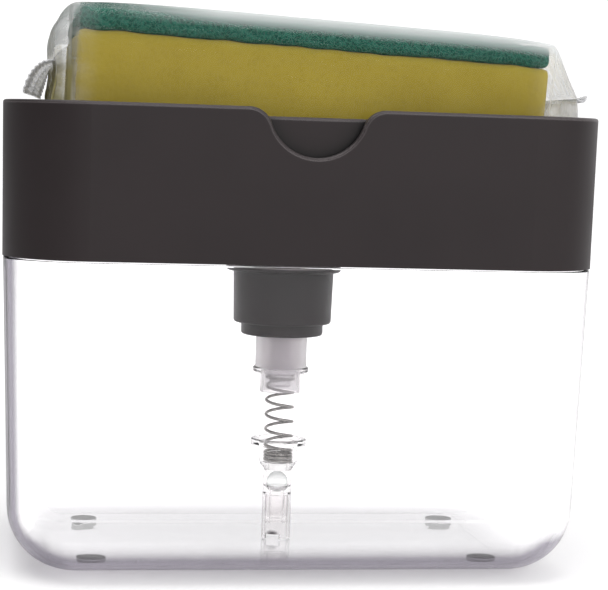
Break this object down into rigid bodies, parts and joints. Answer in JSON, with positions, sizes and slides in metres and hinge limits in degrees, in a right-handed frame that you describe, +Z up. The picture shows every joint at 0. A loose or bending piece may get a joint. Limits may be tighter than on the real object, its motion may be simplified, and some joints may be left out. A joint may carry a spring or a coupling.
{
  "type": "soap pump caddy",
  "caption": "Countertop soap pump caddy: a clear tank under a dark collar tray, with a sprung press tray that pumps soap up to the wrapped sponge lying in it.",
  "frame": {"origin": "on the table under the middle of the tank, at the bottom of the feet", "axes": "+Z up, +X along the long side to the right as seen from the finger notch, +Y to the back, away from the notch"},
  "size_m": [0.13, 0.09, 0.1228],
  "materials": {
    "clear_tank_plastic": "clear polished styrene",
    "warm_grey_plastic": "satin moulded, dark warm grey",
    "clear_pump_plastic": "clear moulded",
    "natural_pump_plastic": "translucent natural polyethylene",
    "seal_rubber": "soft grey seal",
    "foot_rubber": "grey translucent pad",
    "spring_steel": "drawn stainless wire",
    "valve_glass": "clear greenish glass",
    "yellow_foam": "open-cell foam",
    "green_scour": "non-woven scouring fibre",
    "clear_film": "thin clear wrapping film"
  },
  "bodies": {
    "tank": {"tank": "clear_tank_plastic", "foot_front_left": "foot_rubber", "foot_front_right": "foot_rubber", "foot_rear_left": "foot_rubber", "foot_rear_right": "foot_rubber"},
    "collar": {"collar_tray": "warm_grey_plastic", "pump_collar": "warm_grey_plastic", "pump_gasket": "seal_rubber", "pump_cylinder": "clear_pump_plastic", "dip_tube": "clear_pump_plastic", "stem_guide": "natural_pump_plastic", "pump_spring": "spring_steel"},
    "plunger": {"press_tray": "warm_grey_plastic", "outlet_nozzle": "warm_grey_plastic", "pump_stem": "natural_pump_plastic", "piston_rod": "natural_pump_plastic"},
    "piston": {"piston_seal": "natural_pump_plastic"},
    "valve_ball": {"inlet_ball": "valve_glass"},
    "sponge": {"sponge_foam": "yellow_foam", "scouring_pad": "green_scour", "sponge_wrapper": "clear_film"}
  },
  "joints": [
    {"name": "tray_lift", "type": "slide", "parent": "tank", "child": "collar", "axis": [0, 0, 1], "range_m": [0, 0.08]},
    {"name": "press_travel", "type": "slide", "parent": "collar", "child": "plunger", "axis": [0, 0, -1], "range_m": [0, 0.008], "stiffness_N_per_m": 600, "springref_m": -0.008, "deforming": ["pump_spring"]},
    {"name": "piston_slip", "type": "slide", "parent": "plunger", "child": "piston", "axis": [0, 0, 1], "range_m": [0, 0.001]},
    {"name": "inlet_ball_lift", "type": "slide", "parent": "collar", "child": "valve_ball", "axis": [0, 0, 1], "range_m": [0, 0.0012]},
    {"name": "sponge_lift", "type": "slide", "parent": "plunger", "child": "sponge", "axis": [0, 0, 1], "range_m": [0, 0.06]}
  ]
}
